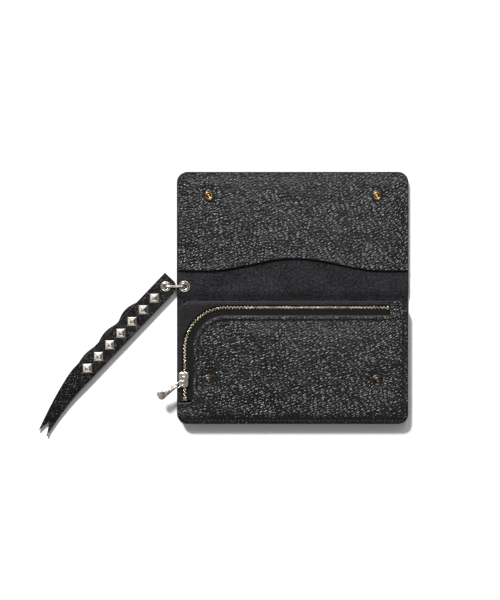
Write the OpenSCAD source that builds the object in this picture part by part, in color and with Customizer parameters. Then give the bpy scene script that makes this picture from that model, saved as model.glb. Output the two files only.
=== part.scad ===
// Long chain wallet lying open: a folding leather cover, a zipped pouch on the lower half,
// a pocketed flap on the upper half, and a studded lanyard on an oval link at the spine.
// +Z is up, X runs along the fold, and the open flap points to +Y.

/* [Cover] */
// Width along the fold
cover_w = 194; // [186:1:205]
// Thickness of the cover leather
cover_t = 2.2; // [2:0.1:2.4]
// Length of the spine band between the two creases
spine_l = 14; // [14:0.5:16]
// Edge of the lower half, measured down from the frame origin
lower_l = 105; // [100:1:112]
// Length of the flap from its crease
flap_l = 89.1; // [84:0.1:96]
// Corner radius of the cover
corner_r = 9; // [6:1:12]
// Height at which the spine and the open flap lie
lift = 2.6; // [2.6:0.1:3]

/* [Pouch] */
// Thickness of the pouch leather
panel_t = 1.5; // [1.2:0.1:1.5]
// Height of the gusset wall
wall_h = 6.4; // [6:0.1:6.6]
// Thickness of the gusset wall
wall_t = 2; // [1.5:0.1:2.2]
// Radius of the curve that the zip follows
zip_r = 34.3; // [28:0.1:38]

/* [Flap pocket] */
// Distance from the pocket mouth to the fold at the sides
mouth_low = 23.5; // [20:0.5:30]
// Rise of the wavy mouth in the middle
mouth_rise = 10.3; // [6:0.1:14]

/* [Lanyard] */
// Width of the strap
strap_w = 17; // [14:0.5:17]
// Spacing of the studs
stud_pitch = 13.5; // [12:0.1:14]
// Side of one pyramid stud
stud_side = 8.4; // [7:0.1:9]
// Angle between the strap and the fold
strap_angle = 46.3; // [40:0.1:50]
// Wire diameter of the link
wire_d = 1.8; // [1.6:0.1:1.8]

/* [Hidden] */
$fn = 48;

// colours
leather_black = "#1c1c1e";
suede_black = "#2a2a2c";
nickel = "#cfc8bd";
brass_aged = "#7a6236";
tape_black = "#151516";

// cover
half_w = cover_w / 2;
crease_gap = 0.3;
lower_gap = 0.4;
crease_r = 0.5;
crease_low = 3.4;
crease_high = crease_low + spine_l;
flap_end = crease_high + flap_l;
cover_top = lift + cover_t;
pocket_top = cover_top + panel_t;
pocket_edge = 0.6;
mouth_mid_x = 2;
mouth_half = 74;

// pouch levels
pouch_half_w = half_w - 1;
pouch_low = -(lower_l - 1);
pouch_high = -1.8;
back_z = cover_t;
wall_z = back_z + panel_t;
front_z = wall_z + wall_h;
pouch_top = front_z + panel_t;
pouch_low_r = 8;
pouch_left_r = 12;
divider_t = 0.8;
divider_z = wall_z + 2.7;

// zip
zip_x = -89.9;
zip_y = -7.3;
zip_right = 78;
zip_bottom = -81.5;
arc_x = zip_x + zip_r;
arc_y = zip_y - zip_r;
zip_steps = 16;
tape_t = 0.7;
tooth_in = 0.5;
tooth_out = 1.3;
tooth_h = 2;
tape_outer_w = 3.3;
tape_inner_w = 8;
slot_outer = 2;
stop_gap = 0.1;
slot_inner = 6.3;
panel_seam_x = 80.4;
tab_y = -86;
tab_r = 3;
seam_gap = 0.4;

// slider and pull
slider_y = -67;
slider_l = 13;
slider_w = 8.4;
slider_shift = -0.9;
slider_r = 2.4;
plate_t = 1;
slider_z = pouch_top + 0.4;
slider_top = slider_z + plate_t;
post_w = 0.5;
post_l = 3;
lower_plate_w = 6.6;
lower_plate_z = front_z - tape_t - 0.4 - plate_t;
crown_w = 1.6;
crown_l = 5;
crown_h = 1.8;
crown_sink = 0.2;
pivot_z = slider_top + crown_h / 2;
pivot_x = zip_x + slider_shift - 0.8;
pivot_y = slider_y - 2.2;
pull_angle = 211;
pin_r = 0.35;
pin_hole_r = 0.55;
bail_w = 4.6;
bail_l = 6.5;
bail_t = 0.9;
tab_l = 19;
tab_w1 = 2.6;
tab_w2 = 7.6;
tab_t = 1.6;
tab_foot = 0.5;
tab_point = 3;
rib_pitch = 2.6;
rib_w = 1;
rib_start = 3;
rib_n = 5;
rib_depth = 0.35;

// snaps
snap_x = 70.2;
flap_snap_y = crease_high + 68.9;
pouch_snap_y = crease_low - 71.1;
snap_r = 4.8;
snap_flange_t = 0.7;
snap_post_r = 1.7;
snap_post_h = 2.9;
shank_sink = 0.9;
shank_r = 1.2;
shank_hole_r = 1.3;
socket_h = 1.5;
socket_bore_r = 2.1;
socket_floor = 0.3;
cap_r = 5.2;
cap_round = 1.6;
backing_r = 3.6;

// lanyard
eyelet_x = -90.5;
eyelet_y = crease_low + spine_l / 2;
strap_eye_x = -106.3;
eyelet_bore_r = 2.2;
eyelet_barrel_r = 2.6;
eyelet_hole_r = 2.7;
eyelet_flange_r = 4.8;
strap_flange_r = 4.4;
eyelet_flange_t = 0.4;
link_gap = 0.35;
link_low_z = wire_d / 2;
link_high_z = cover_top + eyelet_flange_t + link_gap + wire_d / 2;
link_end_r = (link_high_z - link_low_z) / 2;
link_hook = 2.5;
strap_t = cover_t;
strap_z = lift;
strap_head = 8;
strap_bend = 104;
strap_fork_u = 149;
strap_tip_u = 161;
strap_drift = 10.4;
strap_taper = 4.4;
fork_half_w = 4;
fork_step = 1;
tip_l = 4;
first_stud_u = 13.6;
under_t = 2.3;
under_start = 9;
under_end = 140;
scallop_l = 25;
scallop_h = 3.4;
scallop_fade = 0.7;
scallop_start = 25;
under_inset = 1.2;
under_edge = 0.6;
pyramid_h = 3.4;
pyramid_base = 0.8;
pyramid_flat = 0.3;

// points of an arc about c, from angle a0 to a1 in n steps
function arc(c, r, a0, a1, n) =
  [for (i = [0:n]) let (a = a0 + (a1 - a0) * i / n) [c[0] + r * cos(a), c[1] + r * sin(a)]];

// outline of a rectangle with its own radius at each corner, anticlockwise from lower left
function round_box(x0, y0, x1, y1, bl, br, tr, tl) = concat(
  arc([x0 + bl, y0 + bl], bl, 180, 270, 8),
  arc([x1 - br, y0 + br], br, 270, 360, 8),
  arc([x1 - tr, y1 - tr], tr, 0, 90, 8),
  arc([x0 + tl, y1 - tl], tl, 90, 180, 8)
);

// the zip's line, moved outwards (to the left and up) by o
function zip_line(o, right, bottom) = concat(
  [[right, zip_y + o]],
  arc([arc_x, arc_y], zip_r + o, 90, 180, zip_steps),
  [[zip_x - o, bottom]]
);

function reversed(list) = [for (i = [len(list) - 1:-1:0]) list[i]];

// a band that follows the zip between two offsets
module zip_band(o1, o2, z, h, right = zip_right, bottom = zip_bottom) {
  translate([0, 0, z])
    linear_extrude(h)
      polygon(concat(zip_line(o2, right, bottom), reversed(zip_line(o1, right, bottom))));
}

module plate(points, z, h) {
  translate([0, 0, z])
    linear_extrude(h)
      polygon(points);
}

module drill(x, y, z, h, r) {
  translate([x, y, z - 1])
    cylinder(h = h + 2, r = r);
}

// pouch outline, pulled in by inset
function pouch_outline(inset) = round_box(
  -pouch_half_w + inset, pouch_low + inset, pouch_half_w - inset, pouch_high - inset,
  pouch_low_r - inset, pouch_low_r - inset, pouch_low_r - inset, pouch_left_r - inset
);

// ---- cover ----
module cover_lower_panel() {
  color(leather_black)
    plate(round_box(-half_w, -lower_l, half_w, crease_low - lower_gap,
                    corner_r, corner_r, crease_r, crease_r), 0, cover_t);
}

module cover_spine_panel() {
  color(suede_black)
    difference() {
      plate(round_box(-half_w, crease_low, half_w, crease_high,
                      crease_r, crease_r, crease_r, crease_r), lift, cover_t);
      drill(eyelet_x, eyelet_y, lift, cover_t, eyelet_hole_r);
    }
}

module cover_flap_panel() {
  color(suede_black)
    difference() {
      plate(round_box(-half_w, crease_high + crease_gap, half_w, flap_end,
                      crease_r, crease_r, corner_r, corner_r), lift, cover_t);
      for (side = [-1, 1])
        drill(side * snap_x, flap_snap_y, lift, cover_t, shank_hole_r);
    }
}

// height of the pocket mouth at x
function mouth_y(x) =
  mouth_low + mouth_rise * (0.5 + 0.5 * cos(180 * min(abs(x - mouth_mid_x) / mouth_half, 1)));

module flap_pocket_panel() {
  edge = half_w - pocket_edge;
  steps = 48;
  mouth = [for (i = [0:steps]) let (x = -edge + 2 * edge * i / steps) [x, mouth_y(x)]];
  r = corner_r - pocket_edge;
  top = flap_end - pocket_edge;
  color(leather_black)
    difference() {
      plate(concat(mouth, arc([edge - r, top - r], r, 0, 90, 8),
                   arc([-edge + r, top - r], r, 90, 180, 8)), cover_top, panel_t);
      for (side = [-1, 1])
        drill(side * snap_x, flap_snap_y, cover_top, panel_t, shank_hole_r);
    }
}

// ---- pouch ----
module pouch_back_panel() {
  color(leather_black)
    plate(pouch_outline(0), back_z, panel_t);
}

module pouch_side_wall() {
  color(leather_black)
    difference() {
      plate(pouch_outline(0), wall_z, wall_h);
      plate(pouch_outline(wall_t), wall_z - 1, wall_h + 2);
    }
}

module pouch_inner_divider() {
  color(tape_black)
    plate(pouch_outline(wall_t + 0.1), divider_z, divider_t);
}

module pouch_front_panel() {
  inner = zip_line(-slot_inner, panel_seam_x, tab_y + tab_r);
  r = pouch_low_r;
  color(leather_black)
    difference() {
      plate(concat(
        [[panel_seam_x, pouch_high]],
        inner,
        arc([zip_x + slot_inner - tab_r, tab_y + tab_r], tab_r, 0, -90, 6),
        [[-pouch_half_w, tab_y]],
        arc([-pouch_half_w + r, pouch_low + r], r, 180, 270, 8),
        arc([pouch_half_w - r, pouch_low + r], r, 270, 360, 8),
        arc([pouch_half_w - r, pouch_high - r], r, 0, 90, 8)
      ), front_z, panel_t);
      for (side = [-1, 1])
        drill(side * snap_x, pouch_snap_y, front_z, panel_t, shank_hole_r);
    }
}

module pouch_zip_surround() {
  r = pouch_left_r;
  seam = panel_seam_x - seam_gap;
  color(leather_black)
    plate(concat(
      [[seam, pouch_high]],
      arc([-pouch_half_w + r, pouch_high - r], r, 90, 180, 8),
      [[-pouch_half_w, tab_y + seam_gap], [zip_x - slot_outer, tab_y + seam_gap]],
      reversed(zip_line(slot_outer, seam, tab_y + tab_r))
    ), front_z, panel_t);
}

// ---- zip ----
module zip_tape_outer() {
  color(tape_black)
    zip_band(tooth_out, tape_outer_w, front_z - tape_t, tape_t);
}

module zip_tape_inner() {
  color(tape_black)
    zip_band(-tape_inner_w, -tooth_out, front_z - tape_t, tape_t);
}

module zip_teeth_outer() {
  color(nickel)
    zip_band(tooth_in, tooth_out, front_z - tape_t, tooth_h);
}

module zip_teeth_inner() {
  color(nickel)
    zip_band(-tooth_out, -tooth_in, front_z - tape_t, tooth_h);
}

module zip_bottom_stop() {
  stop_w = 3.4;
  stop_l = 3.4;
  color(nickel)
    translate([zip_x - stop_w / 2, zip_bottom - stop_l - stop_gap, front_z - tape_t])
      cube([stop_w, stop_l, tooth_h]);
}

module zip_top_stop() {
  stop_l = 1.8;
  stop_w = 3.2;
  color(nickel)
    translate([zip_right + stop_gap, zip_y - stop_w / 2, front_z - tape_t])
      cube([stop_l, stop_w, tooth_h]);
}

// slider plate with rounded corners, centred at x
module slider_plate(x, w, z, h) {
  plate(round_box(x - w / 2, slider_y - slider_l / 2, x + w / 2, slider_y + slider_l / 2,
                  slider_r, slider_r, slider_r, slider_r), z, h);
}

module zip_slider() {
  color(nickel) {
    difference() {
      union() {
        slider_plate(zip_x + slider_shift, slider_w, slider_z, plate_t);
        translate([pivot_x, pivot_y, slider_top - crown_sink])
          rotate([0, 0, pull_angle])
            translate([-crown_l / 2, -crown_w / 2, 0])
              cube([crown_l, crown_w, crown_h + crown_sink]);
      }
      translate([pivot_x, pivot_y, pivot_z])
        rotate([90, 0, pull_angle])
          cylinder(h = slider_w, r = pin_hole_r, center = true);
    }
    translate([zip_x - post_w / 2, slider_y - slider_l / 2, lower_plate_z + plate_t / 2])
      cube([post_w, post_l, slider_z - lower_plate_z]);
    slider_plate(zip_x, lower_plate_w, lower_plate_z, plate_t);
  }
}

// the pull is drawn along +X from its pivot, then turned into place
module on_pull() {
  translate([pivot_x, pivot_y, pivot_z])
    rotate([0, 0, pull_angle])
      children();
}

module zip_pull_link() {
  arm_w = 0.9;
  arm_x = -bail_t / 2;
  color(nickel)
    on_pull() {
      rotate([90, 0, 0])
        cylinder(h = bail_w, r = pin_r, center = true);
      for (side = [-1, 1])
        translate([arm_x, side * (bail_w - arm_w) / 2 - arm_w / 2, -bail_t / 2])
          cube([bail_l, arm_w, bail_t]);
      translate([bail_l - arm_w - bail_t / 2, -bail_w / 2, -bail_t / 2])
        cube([arm_w, bail_w, bail_t]);
    }
}

module zip_pull_tab() {
  start = bail_l + 0.1;
  color(nickel)
    on_pull()
      difference() {
        translate([start, 0, -tab_t / 2])
          linear_extrude(tab_t)
            polygon([[-tab_foot, -tab_w1 / 2], [tab_l - tab_point, -tab_w2 / 2], [tab_l, 0],
                     [tab_l - tab_point, tab_w2 / 2], [-tab_foot, tab_w1 / 2]]);
        for (i = [0:rib_n - 1])
          translate([start + rib_start + i * rib_pitch, -tab_w2, tab_t / 2 - rib_depth])
            cube([rib_w, 2 * tab_w2, tab_t]);
      }
}

// ---- snaps ----
module snap_stud(side) {
  color(brass_aged)
    translate([side * snap_x, pouch_snap_y, 0]) {
      translate([0, 0, pouch_top])
        cylinder(h = snap_flange_t, r = snap_r);
      translate([0, 0, pouch_top])
        cylinder(h = snap_post_h, r = snap_post_r);
      translate([0, 0, front_z - shank_sink])
        cylinder(h = panel_t + shank_sink + snap_flange_t / 2, r = shank_r);
    }
}

module snap_stud_back(side) {
  color(brass_aged)
    difference() {
      translate([side * snap_x, pouch_snap_y, front_z - snap_flange_t])
        cylinder(h = snap_flange_t, r = backing_r);
      drill(side * snap_x, pouch_snap_y, front_z - snap_flange_t, snap_flange_t, shank_hole_r);
    }
}

module snap_socket(side) {
  color(brass_aged)
    difference() {
      translate([side * snap_x, flap_snap_y, pocket_top])
        cylinder(h = socket_h, r = snap_r);
      translate([side * snap_x, flap_snap_y, pocket_top + socket_floor])
        cylinder(h = socket_h, r = socket_bore_r);
    }
}

module snap_cap(side) {
  color(nickel)
    translate([side * snap_x, flap_snap_y, 0]) {
      rotate_extrude()
        polygon(concat([[0, 0]], arc([cap_r - cap_round, cap_round], cap_round, -90, 0, 6),
                       [[cap_r, lift], [0, lift]]));
      translate([0, 0, cap_round])
        cylinder(h = pocket_top - cap_round, r = shank_r);
    }
}

// ---- lanyard ----
// rolled metal eyelet clamped round leather that lies between z and z + t
module eyelet(x, y, z, t, flange_r) {
  color(nickel)
    translate([x, y, z - eyelet_flange_t])
      difference() {
        union() {
          cylinder(h = t + 2 * eyelet_flange_t, r = eyelet_barrel_r);
          cylinder(h = eyelet_flange_t, r = flange_r);
          translate([0, 0, t + eyelet_flange_t])
            cylinder(h = eyelet_flange_t, r = flange_r);
        }
        translate([0, 0, -1])
          cylinder(h = t + 2 * eyelet_flange_t + 2, r = eyelet_bore_r);
      }
}

module wallet_eyelet() {
  eyelet(eyelet_x, eyelet_y, lift, cover_t, eyelet_flange_r);
}

module lanyard_eyelet() {
  eyelet(strap_eye_x, eyelet_y, strap_z, strap_t, strap_flange_r);
}

module link_end(x, turn) {
  translate([x, eyelet_y, link_low_z + link_end_r])
    rotate([90, 0, 0])
      rotate([0, 0, turn])
        rotate_extrude(angle = 180)
          translate([link_end_r, 0])
            circle(d = wire_d, $fn = 24);
}

module lanyard_link() {
  right = eyelet_x - link_hook;
  left = strap_eye_x + link_hook;
  color(nickel) {
    link_end(right, -90);
    link_end(left, 90);
    for (z = [link_low_z, link_high_z])
      translate([left, eyelet_y, z])
        rotate([0, 90, 0])
          cylinder(h = right - left, d = wire_d, $fn = 24);
  }
}

// strap frame: +X runs from the strap's eyelet to its forked tail
module on_strap() {
  translate([strap_eye_x, eyelet_y, 0])
    rotate([0, 0, 180 + strap_angle])
      children();
}

// sideways drift of the tail at u, towards the wallet
function drift(u) =
  u < strap_bend ? 0
  : strap_drift * pow((u - strap_bend) / (strap_tip_u - strap_bend), 1.5);

// half width of the strap at u
function half_strap(u) =
  u < strap_bend ? strap_w / 2
  : strap_w / 2 - strap_taper * (u - strap_bend) / (strap_tip_u - strap_bend);

strap_us = [for (i = [0:12]) strap_bend + (strap_tip_u - tip_l - strap_bend) * i / 12];

module lanyard_strap() {
  w = strap_w / 2;
  right_side = [for (u = strap_us) [u, drift(u) + half_strap(u)]];
  left_side = [for (u = strap_us) [u, drift(u) - half_strap(u)]];
  fork = [[strap_tip_u - fork_step, drift(strap_tip_u) + fork_half_w],
          [strap_fork_u, drift(strap_fork_u)],
          [strap_tip_u, drift(strap_tip_u) - fork_half_w]];
  color(leather_black)
    on_strap()
      difference() {
        plate(concat(
          arc([0, 0], w, 160, 90, 8),
          right_side,
          fork,
          reversed(left_side),
          [[-strap_head, -w]]
        ), strap_z, strap_t);
        drill(0, 0, strap_z, strap_t, eyelet_hole_r);
      }
}

// edge of the under strap: plain at the eyelet, then one shrinking scallop between crossings
function scallop(u) =
  strap_w / 2 - under_edge
  + (u < scallop_start ? 0
     : (scallop_h - scallop_fade * floor(u / scallop_l - 1)) * abs(sin(180 * u / scallop_l)));

module lanyard_under_strap() {
  steps = 50;
  us = [for (i = [0:steps]) under_start + (under_end - under_start) * i / steps];
  narrow = strap_w / 2 - under_inset;
  color(leather_black)
    on_strap()
      plate(concat(
        [for (u = us) [u, drift(u) + min(narrow, half_strap(u) - under_inset)]],
        reversed([for (u = us)
          [u, drift(u) - (u < strap_bend ? scallop(u) : half_strap(u) - under_edge)]])
      ), 0, under_t);
}

module pyramid_stud(i) {
  r = stud_side / sqrt(2);
  color(nickel)
    on_strap()
      translate([first_stud_u + (i - 1) * stud_pitch, 0, strap_z + strap_t]) {
        cylinder(h = pyramid_base, r = r, $fn = 4);
        translate([0, 0, pyramid_base])
          cylinder(h = pyramid_h, r1 = r, r2 = pyramid_flat, $fn = 4);
      }
}

cover_lower_panel();
cover_spine_panel();
cover_flap_panel();
flap_pocket_panel();
pouch_back_panel();
pouch_side_wall();
pouch_inner_divider();
pouch_front_panel();
pouch_zip_surround();
zip_tape_outer();
zip_tape_inner();
zip_teeth_outer();
zip_teeth_inner();
zip_bottom_stop();
zip_top_stop();
zip_slider();
zip_pull_link();
zip_pull_tab();
snap_stud(-1);  // snap_stud_left
snap_stud(1);  // snap_stud_right
snap_stud_back(-1);  // snap_stud_back_left
snap_stud_back(1);  // snap_stud_back_right
snap_socket(-1);  // snap_socket_left
snap_socket(1);  // snap_socket_right
snap_cap(-1);  // snap_cap_left
snap_cap(1);  // snap_cap_right
wallet_eyelet();
lanyard_link();
lanyard_strap();
lanyard_under_strap();
lanyard_eyelet();
pyramid_stud(1);  // pyramid_stud_1
pyramid_stud(2);  // pyramid_stud_2
pyramid_stud(3);  // pyramid_stud_3
pyramid_stud(4);  // pyramid_stud_4
pyramid_stud(5);  // pyramid_stud_5
pyramid_stud(6);  // pyramid_stud_6
pyramid_stud(7);  // pyramid_stud_7
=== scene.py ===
"""Looks of the chain wallet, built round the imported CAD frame. Metres in Blender; sizes here are in mm."""
import math

import bmesh
import bpy
import numpy as np
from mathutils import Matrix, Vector
from mathutils.geometry import delaunay_2d_cdt


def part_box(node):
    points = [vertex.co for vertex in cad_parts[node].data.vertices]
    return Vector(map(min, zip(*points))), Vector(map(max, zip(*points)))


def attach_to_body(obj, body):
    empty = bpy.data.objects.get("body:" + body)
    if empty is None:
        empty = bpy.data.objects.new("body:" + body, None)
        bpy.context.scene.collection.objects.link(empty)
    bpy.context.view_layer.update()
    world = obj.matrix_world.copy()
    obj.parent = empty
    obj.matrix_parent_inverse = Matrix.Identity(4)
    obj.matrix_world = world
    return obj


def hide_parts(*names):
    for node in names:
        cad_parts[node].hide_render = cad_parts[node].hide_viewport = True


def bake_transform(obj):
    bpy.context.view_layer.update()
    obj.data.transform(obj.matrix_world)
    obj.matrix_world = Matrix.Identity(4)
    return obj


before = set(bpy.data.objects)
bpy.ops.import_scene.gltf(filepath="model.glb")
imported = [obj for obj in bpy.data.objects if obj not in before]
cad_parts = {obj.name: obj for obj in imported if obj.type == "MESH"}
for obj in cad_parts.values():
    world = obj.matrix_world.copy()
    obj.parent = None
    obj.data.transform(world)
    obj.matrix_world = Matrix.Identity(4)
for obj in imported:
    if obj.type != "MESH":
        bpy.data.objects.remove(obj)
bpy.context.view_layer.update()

MM = 0.001


def box_mm(node):
    low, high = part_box(node)
    return [c / MM for c in low], [c / MM for c in high]


def attach(piece, node, body):
    """The piece stands for a CAD node, whose part is hidden, and rides on a body."""
    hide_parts(node)
    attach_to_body(piece, body)


# ---- sizes taken from the frame, in mm ----
COVER_LOW, COVER_HIGH = box_mm("cover_lower_panel")
SPINE_LOW, SPINE_HIGH = box_mm("cover_spine_panel")
FLAP_HIGH = box_mm("cover_flap_panel")[1]
POCKET_HIGH = box_mm("flap_pocket_panel")[1]
BACK_LOW, BACK_HIGH = box_mm("pouch_back_panel")
FRONT_LOW, FRONT_HIGH = box_mm("pouch_front_panel")
TEETH_LOW, TEETH_HIGH = box_mm("zip_teeth_outer")
HALF_W = COVER_HIGH[0]
COVER_T = COVER_HIGH[2]
LIFT = SPINE_LOW[2]
INNER_Z = SPINE_HIGH[2]
POCKET_Z = POCKET_HIGH[2]
CREASE_LOW, CREASE_HIGH = SPINE_LOW[1], SPINE_HIGH[1]
SPINE_MID = (CREASE_LOW + CREASE_HIGH) / 2
POUCH_X, POUCH_Y0, POUCH_Y1 = BACK_HIGH[0], BACK_LOW[1], BACK_HIGH[1]
FRONT_Z0, POUCH_TOP = FRONT_LOW[2], FRONT_HIGH[2]
CORNER_R = 9.0
POUCH_R, POUCH_R_LEFT = 8.0, 12.0

# the zip's line: along the top, round an arc and down the left side
TEETH_HALF = 1.3
ZIP_X, ZIP_Y = TEETH_LOW[0] + TEETH_HALF, TEETH_HIGH[1] - TEETH_HALF
ZIP_RIGHT, ZIP_BOTTOM = TEETH_HIGH[0], TEETH_LOW[1]
ZIP_R = 34.3
ARC_X, ARC_Y = ZIP_X + ZIP_R, ZIP_Y - ZIP_R
SLOT_OUTER, SLOT_INNER = 2.0, 6.3
SEAM_X, TAB_Y = 80.4, -86.0


def centre_of(node):
    low, high = box_mm(node)
    return [(a + b) / 2 for a, b in zip(low, high)]


WALLET_EYE = centre_of("wallet_eyelet")
STRAP_EYE = centre_of("lanyard_eyelet")
FIRST_STUD, LAST_STUD = centre_of("pyramid_stud_1"), centre_of("pyramid_stud_7")
STRAP_TURN = math.atan2(LAST_STUD[1] - FIRST_STUD[1], LAST_STUD[0] - FIRST_STUD[0])


# ---- outlines ----
def arc(cx, cy, r, a0, a1, n):
    """n steps round a centre, from angle a0 to a1 in degrees."""
    return [
        (cx + r * math.cos(math.radians(a0 + (a1 - a0) * i / n)),
         cy + r * math.sin(math.radians(a0 + (a1 - a0) * i / n)))
        for i in range(n + 1)
    ]


def round_box(x0, y0, x1, y1, bl, br, tr, tl, n=12):
    return (arc(x0 + bl, y0 + bl, bl, 180, 270, n) + arc(x1 - br, y0 + br, br, 270, 360, n)
            + arc(x1 - tr, y1 - tr, tr, 0, 90, n) + arc(x0 + tl, y1 - tl, tl, 90, 180, n))


def zip_line(o, right, bottom, n=24):
    """The zip's line moved outwards by o, from its right end to its bottom end."""
    return [(right, ZIP_Y + o)] + arc(ARC_X, ARC_Y, ZIP_R + o, 90, 180, n) + [(ZIP_X - o, bottom)]


def dense(points, step, closed=True):
    """The same outline with a point at least every step."""
    out = []
    n = len(points)
    for i in range(n if closed else n - 1):
        a, b = points[i], points[(i + 1) % n]
        length = math.hypot(b[0] - a[0], b[1] - a[1])
        if length < 1e-6:
            continue
        k = max(1, int(math.ceil(length / step)))
        out += [(a[0] + (b[0] - a[0]) * j / k, a[1] + (b[1] - a[1]) * j / k) for j in range(k)]
    if not closed:
        out.append(points[-1])
    return out


def inset(loop, d):
    """Each point of an anticlockwise loop moved inwards by d."""
    p = np.array(loop)
    e = np.roll(p, -1, 0) - p
    e /= np.linalg.norm(e, axis=1)[:, None] + 1e-12
    n_out = np.stack([-e[:, 1], e[:, 0]], 1)
    n_mid = n_out + np.roll(n_out, 1, 0)
    size = np.linalg.norm(n_mid, axis=1)[:, None]
    n_mid = n_mid / np.maximum(size, 1e-6)
    cos_half = np.maximum((n_mid * n_out).sum(1), 0.5)[:, None]
    return p + n_mid * d / cos_half


def inside(points, loop):
    """Which points lie in the loop."""
    x, y = points[:, 0], points[:, 1]
    result = np.zeros(len(points), bool)
    a = np.array(loop)
    b = np.roll(a, -1, 0)
    for (x1, y1), (x2, y2) in zip(a, b):
        if y1 == y2:
            continue
        hit = ((y1 > y) != (y2 > y)) & (x < (x2 - x1) * (y - y1) / (y2 - y1) + x1)
        result ^= hit
    return result


def distance_to(points, line):
    """Distance from each point to a polyline's nearest point."""
    q = np.array(dense(line, 0.8, closed=False))
    best = np.full(len(points), 1e9)
    for k in range(0, len(q), 64):
        d = np.linalg.norm(points[:, None, :] - q[None, k:k + 64, :], axis=2).min(1)
        best = np.minimum(best, d)
    return best


# ---- meshes ----
def lay_out(mesh):
    """A map of the resting shape in metres, flat on level faces and run round upright ones."""
    layer = mesh.uv_layers.new(name="rest")
    for poly in mesh.polygons:
        n = poly.normal
        level = abs(n.z) > 0.5
        for k in poly.loop_indices:
            p = mesh.vertices[mesh.loops[k].vertex_index].co
            layer.data[k].uv = (p.x, p.y) if level else (p.y * n.x - p.x * n.y, p.z)


def make_object(name, verts, faces, material, smooth=True):
    mesh = bpy.data.meshes.new(name)
    mesh.from_pydata([tuple(c * MM for c in v) for v in verts], [], faces)
    mesh.materials.append(material)
    mesh.validate()
    for poly in mesh.polygons:
        poly.use_smooth = smooth
    lay_out(mesh)
    obj = bpy.data.objects.new(name, mesh)
    bpy.context.scene.collection.objects.link(obj)
    return obj


def cleaned(obj, merge=0.0, outwards=True):
    """The object with points closer than merge, in metres, made one, and its faces turned out."""
    bm = bmesh.new()
    bm.from_mesh(obj.data)
    if merge:
        bmesh.ops.remove_doubles(bm, verts=bm.verts, dist=merge)
    if outwards:
        bmesh.ops.recalc_face_normals(bm, faces=bm.faces)
    bm.to_mesh(obj.data)
    bm.free()
    return obj


def bands(count, n, closed=False):
    """Faces between count rings of n points each, capped at both ends unless closed."""
    faces = []
    for a in range(count if closed else count - 1):
        b = (a + 1) % count
        faces += [(a * n + i, a * n + (i + 1) % n, b * n + (i + 1) % n, b * n + i) for i in range(n)]
    if not closed:
        faces.append(tuple(reversed(range(n))))
        faces.append(tuple(range((count - 1) * n, count * n)))
    return faces


def slab_faces(rows, columns):
    """Faces of a thin slab: a net of rows by columns points, the same net below, and a rim."""
    layer = rows * columns
    faces = []
    for i in range(rows - 1):
        for k in range(columns - 1):
            a = i * columns + k
            quad = (a, a + 1, a + columns + 1, a + columns)
            faces.append(quad)
            faces.append(tuple(reversed([layer + v for v in quad])))
    rim = ([i * columns for i in range(rows)] + [(rows - 1) * columns + k for k in range(1, columns)]
           + [i * columns + columns - 1 for i in range(rows - 2, -1, -1)]
           + list(range(columns - 2, 0, -1)))
    return faces + [(a, b, layer + b, layer + a) for a, b in zip(rim, rim[1:] + rim[:1])]


def fill(loops, spacing):
    """Triangles of the area inside loops[0] and outside the others, with an even net of points."""
    outer = np.array(loops[0])
    low, high = outer.min(0), outer.max(0)
    xs = np.arange(low[0], high[0], spacing)
    ys = np.arange(low[1], high[1], spacing * 0.87)
    grid = np.array([(x + (spacing / 2 if j % 2 else 0), y) for j, y in enumerate(ys) for x in xs])
    shrunk = inset(loops[0], spacing * 0.45)
    keep = inside(grid, shrunk)
    for hole in loops[1:]:
        keep &= ~inside(grid, inset(hole, -spacing * 0.45))
    grid = grid[keep]
    verts, edges = [], []
    for loop in loops:
        first = len(verts)
        verts += [Vector((float(p[0]), float(p[1]))) for p in loop]
        edges += [(first + i, first + (i + 1) % len(loop)) for i in range(len(loop))]
    verts += [Vector((float(p[0]), float(p[1]))) for p in grid]
    out_v, _, out_f, _, _, _ = delaunay_2d_cdt(verts, edges, [], 0, 1e-5)
    pts = np.array([(v[0], v[1]) for v in out_v])
    tris = [f for f in out_f if len(f) == 3]
    mid = np.array([pts[list(f)].mean(0) for f in tris])
    ok = inside(mid, loops[0])
    for hole in loops[1:]:
        ok &= ~inside(mid, hole)
    result = []
    for f, good in zip(tris, ok):
        if good:
            a, b, c = (pts[i] for i in f)
            turn = (b[0] - a[0]) * (c[1] - a[1]) - (b[1] - a[1]) * (c[0] - a[0])
            if abs(turn) > 1e-9:
                result.append(tuple(f) if turn > 0 else tuple(reversed(f)))
    return pts, result


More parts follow.
